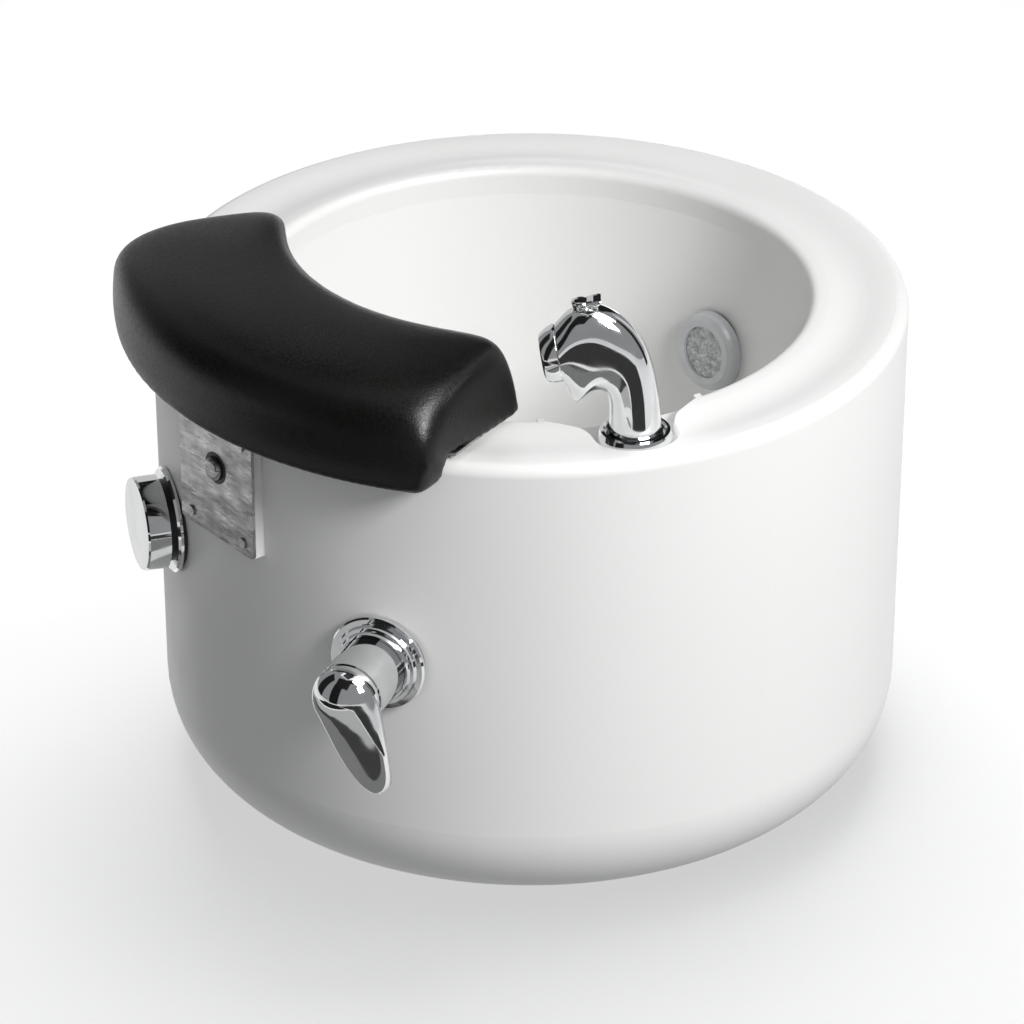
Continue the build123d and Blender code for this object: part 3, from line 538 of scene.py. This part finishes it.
# ---------------------------------------------------------------- mixer lever
MIXER_ANGLE = radians(299.2)
MIXER_HEIGHT = 210.4
MIXER_WALL = 270.9 + 4.1 * MIXER_HEIGHT / 376.0
LEVER_LEAN = radians(24.0)
PIVOT_OUT = 52.0
CAP_OUTER = 26.2
CAP_INNER = 24.1
CAP_RIM = 61.0
CAP_HALF = 24.6             # half width of the lever's plan at the hub
ARM_THICKNESS = 4.6
ARM_BEND = 0.94             # how far round the crown the arm's edge lies, 1 being upright
EDGE_ROUND = 0.7            # how far the shell's outer edge falls
EDGE_SHARE = 0.955          # from here to the plan's edge
THINNEST = 0.1
BOSS_RADIUS = 7.0
TONGUE_HALF = (3.0, 4.5)    # the tongue in the rotor's slot

# distance below the hub's axis, half width, crown, edge; the last two measured out from the wall
ARM_STATIONS = [
    (0.0, 24.6, 78.2, 61.0),
    (9.0, 23.9, 77.2, 61.6),
    (18.0, 22.6, 76.0, 63.0),
    (27.0, 21.2, 74.7, 64.4),
    (36.0, 19.5, 73.5, 65.6),
    (45.0, 17.5, 72.4, 66.2),
    (54.0, 15.0, 71.5, 66.5),
    (61.0, 12.6, 70.8, 66.4),
    (66.5, 9.8, 70.0, 66.0),
    (70.0, 6.4, 69.0, 65.6),
    (72.0, 0.0, 67.2, 65.4),
]
ARM_TABLE = smooth_path(ARM_STATIONS, 8)


def lever_point(x, y, z):
    """Point in the lever's own frame: y up along the lever, z out of the wall."""
    across = x * cos(LEVER_LEAN) - y * sin(LEVER_LEAN)
    up = x * sin(LEVER_LEAN) + y * cos(LEVER_LEAN)
    c, s = cos(MIXER_ANGLE), sin(MIXER_ANGLE)
    reach = MIXER_WALL + z
    return (reach * c - across * s, reach * s + across * c, MIXER_HEIGHT + up)


def arm_at(drop):
    """Half width, crown and edge of the arm at a distance below the hub's axis."""
    for low, high in zip(ARM_TABLE, ARM_TABLE[1:]):
        if drop <= high[0]:
            share = (drop - low[0]) / max(high[0] - low[0], 1e-6)
            return [p + (q - p) * share for p, q in zip(low[1:], high[1:])]
    return list(ARM_TABLE[-1][1:])


def lever_heights(x, y):
    """Top and underside of the lever over a point of its plan."""
    reach = hypot(x, y)
    if y >= 0:
        top = PIVOT_OUT + sqrt(max(CAP_OUTER**2 - reach**2, 0.0))
    else:
        half, crown, edge = arm_at(-y)
        across = min(abs(x) / max(half, 0.01), 1.0)
        fall = (1 - sqrt(1 - (ARM_BEND * across) ** 2)) / (1 - sqrt(1 - ARM_BEND * ARM_BEND))
        top = crown - (crown - edge) * fall
    hollow = PIVOT_OUT + sqrt(max(CAP_INNER**2 - reach**2, 0.0))
    if y >= 0:
        under = max(hollow, CAP_RIM)
    else:
        slab = top - min(ARM_THICKNESS, 1.2 - 0.2 * y)
        under = max(hollow, slab) if reach < CAP_INNER else slab
        under = min(under, top - 1.0)
    return top, under


def build_lever():
    """The lever's shell over its plan, with the boss and the tongue that hold it on the rotor."""
    outline = []
    for i in range(60):
        a = pi * i / 60
        outline.append((CAP_HALF * cos(a), CAP_HALF * sin(a)))
    for drop, half, _, _ in ARM_TABLE:
        outline.append((-half, -drop))
    for drop, half, _, _ in reversed(ARM_TABLE[1:-1]):
        outline.append((half, -drop))
    centre = (0.0, -18.0)
    shares = [0.04, 0.12, 0.22, 0.34, 0.46, 0.58, 0.68, 0.77, 0.85, 0.91, 0.955, 0.985, 1.0]
    over = []
    below = []
    for share in shares:
        ring = [tuple(m + share * (v - m) for m, v in zip(centre, point)) for point in outline]
        heights = [lever_heights(x, y) for x, y in ring]
        round_off = EDGE_ROUND * max(share - EDGE_SHARE, 0.0) / (1 - EDGE_SHARE)
        over.append([lever_point(x, y, h[0] - round_off) for (x, y), h in zip(ring, heights)])
        lows = [min(h[1], h[0] - round_off - THINNEST) for h in heights]
        below.append([lever_point(x, y, low) for (x, y), low in zip(ring, lows)])
    shell = loft("lever_shell", over + below[::-1])
    turns = [2 * pi * i / 32 for i in range(32)]
    boss = [
        [lever_point(BOSS_RADIUS * cos(a), BOSS_RADIUS * sin(a), z) for a in turns]
        for z in (PIVOT_OUT + 9, PIVOT_OUT + 25)
    ]
    x, y = TONGUE_HALF
    tongue = [
        [lever_point(*corner, z) for corner in ((-x, -y), (x, -y), (x, y), (-x, y))]
        for z in (PIVOT_OUT - 6, PIVOT_OUT + 10)
    ]
    joined = join("lever_handle", shell, loft("lever_boss", boss), loft("lever_tongue", tongue))
    piece("lever_handle", joined, chrome, "chrome", "mixer_lever", "mixer_lever")


build_lever()


# ---------------------------------------------------------------- dimpled lamp lens
LAMP_ANGLE = radians(95.5)
LAMP_HEIGHT = 260.0
BASIN_LEAN = (203.0 - 176.0) / (356.0 - 112.0)
LAMP_RADIUS = 176.0 + BASIN_LEAN * (LAMP_HEIGHT - 112.0)


def build_lens():
    """A disc of small domes in a hexagonal pattern, thicker at its middle."""
    out = Vector((-cos(LAMP_ANGLE), -sin(LAMP_ANGLE), BASIN_LEAN)).normalized()
    side = Vector((sin(LAMP_ANGLE), -cos(LAMP_ANGLE), 0.0))
    up = out.cross(side)
    origin = Vector((LAMP_RADIUS * cos(LAMP_ANGLE), LAMP_RADIUS * sin(LAMP_ANGLE), LAMP_HEIGHT))
    radius = 19.9
    ledge = 6.1
    pitch = 3.1
    edge_height = 10.6
    crown = 1.3
    dome = 0.28

    def at(x, y, z):
        return tuple(origin + side * x + up * y + out * z)

    rings = [[at(radius * cos(2 * pi * i / 180), radius * sin(2 * pi * i / 180), ledge) for i in range(180)]]
    for step in range(56, 0, -1):
        r = radius * step / 56
        ring = []
        for i in range(180):
            x, y = r * cos(2 * pi * i / 180), r * sin(2 * pi * i / 180)
            waves = [cos(2 * pi / pitch * (x * cos(a) + y * sin(a))) for a in (0, pi / 3, 2 * pi / 3)]
            fade = min((radius - r) / 2.0, 1.0)
            lift = crown * (1 - (r / radius) ** 2) + dome * fade * sum(waves)
            ring.append(at(x, y, edge_height + lift))
        rings.append(ring)
    piece("lamp_lens_disc", loft("lamp_lens_disc", rings), lens_glass, "clear_lens", "tub", "lamp_lens")


build_lens()


# ---------------------------------------------------------------- stage and lights
def card(name, size, place, brightness):
    """A glowing plane that only reflections see, facing the object from azimuth, elevation, distance."""
    azimuth, elevation, distance = place
    back = outward(radians(azimuth), radians(elevation))
    x, y = size[0] / 2, size[1] / 2
    mesh = bpy.data.meshes.new(name)
    mesh.from_pydata([(-x, -y, 0), (x, -y, 0), (x, y, 0), (-x, y, 0)], [], [(0, 1, 2, 3)])
    made = bpy.data.objects.new(name, mesh)
    scene.collection.objects.link(made)
    turn = back.to_track_quat("Z", "Y").to_matrix().to_4x4()
    made.matrix_world = Matrix.Translation(back * distance + TARGET) @ turn
    look = material(name, (0.0, 0.0, 0.0), 1.0, Specular_IOR_Level=0.0)
    shader = look.node_tree.nodes["Principled BSDF"]
    shader.inputs["Emission Color"].default_value = (1.0, 1.0, 1.0, 1.0)
    shader.inputs["Emission Strength"].default_value = brightness
    mesh.materials.append(look)
    made.visible_camera = False
    made.visible_shadow = False
    made.visible_diffuse = False
    return made


floor_mesh = bpy.data.meshes.new("floor")
floor_mesh.from_pydata([(-9, -9, 0), (9, -9, 0), (9, 9, 0), (-9, 9, 0)], [], [(0, 1, 2, 3)])
floor = bpy.data.objects.new("floor", floor_mesh)
scene.collection.objects.link(floor)
floor_look = material("floor", (0.8, 0.8, 0.8), 0.8, Specular_IOR_Level=0.1)
floor_shader = floor_look.node_tree.nodes["Principled BSDF"]
floor_shader.inputs["Emission Color"].default_value = (1.0, 1.0, 1.0, 1.0)
floor_shader.inputs["Emission Strength"].default_value = 0.42
floor_mesh.materials.append(floor_look)
floor.visible_diffuse = False

# Panels that only reflections see: azimuth, elevation and distance of each, size, brightness.
PANELS = [
    ((8, 22, 2.2), (1.0, 2.0), 0.012),
    ((20, 56, 2.6), (1.8, 1.3), 0.015),
    ((-45, 25, 2.6), (1.3, 2.6), 0.015),
    ((-105, 12, 2.4), (1.6, 2.4), 0.6),
    ((60, 66, 3.0), (2.0, 0.8), 0.01),
    ((150, 18, 2.6), (0.8, 2.4), 0.02),
    ((180, 15, 2.6), (0.7, 2.2), 0.7),
    ((232, 40, 2.6), (3.0, 3.0), 0.012),
    ((0, 88, 2.8), (1.1, 1.1), 0.03),
    ((112, 58, 2.4), (1.3, 1.0), 15.0),
]
for number, (place, size, brightness) in enumerate(PANELS):
    card(f"panel_{number}", size, place, brightness)

# Strips just above the floor that only reflections see: centre x and y, size, brightness.
# The first four face the mixer, the next the hand spray and the last the drain knob's front.
STRIPS = [
    ((0.15, -0.388), (1.3, 0.175), 0.2),
    ((0.15, -0.51), (1.3, 0.07), 0.05),
    ((0.15, -0.672), (1.3, 0.255), 0.45),
    ((0.15, -1.55), (1.3, 1.3), 0.015),
    ((1.7, -0.95), (1.7, 2.0), 0.04),
    ((-0.7, -0.27), (0.65, 0.6), 0.8),
]
for number, ((x, y), size, brightness) in enumerate(STRIPS):
    strip = card(f"strip_{number}", size, (0, 90, 1.0), brightness)
    strip.matrix_world = Matrix.Translation((x, y, 0.003))


def softbox(name, place, size, power):
    """A rectangular area light facing the object from azimuth, elevation, distance."""
    azimuth, elevation, distance = place
    back = outward(radians(azimuth), radians(elevation))
    light = bpy.data.lights.new(name, "AREA")
    light.shape = "RECTANGLE"
    light.size, light.size_y = size
    light.energy = power
    made = bpy.data.objects.new(name, light)
    scene.collection.objects.link(made)
    made.location = TARGET + back * distance
    made.rotation_euler = back.to_track_quat("Z", "Y").to_euler()
    return made


key = softbox("key", (95, 37, 3.2), (0.9, 0.9), 92)
top_fill = softbox("top_fill", (180, 86, 3.0), (2.0, 2.0), 10)
back_fill = softbox("back_fill", (225, 18, 3.2), (1.8, 1.8), 24)
overhead = softbox("overhead", (232, 70, 3.0), (2.2, 2.2), 52)


def light_only(light, receiver, state):
    """Makes a light reach only the receiver, or everything except the receiver."""
    reached = bpy.data.collections.new(light.name + "_reach")
    reached.objects.link(receiver)
    reached.collection_objects[0].light_linking.link_state = state
    light.light_linking.receiver_collection = reached


# The floor has its own light from above, so that the key throws no long shadow across it.
light_only(key, floor, "EXCLUDE")
light_only(top_fill, floor, "EXCLUDE")
light_only(back_fill, floor, "EXCLUDE")
light_only(overhead, floor, "INCLUDE")

world = bpy.data.worlds.new("studio")
scene.world = world
world.use_nodes = True
world.node_tree.nodes["Background"].inputs["Color"].default_value = (0.97, 0.98, 1.0, 1.0)
world.node_tree.nodes["Background"].inputs["Strength"].default_value = 0.28
scene.view_settings.view_transform = "Standard"
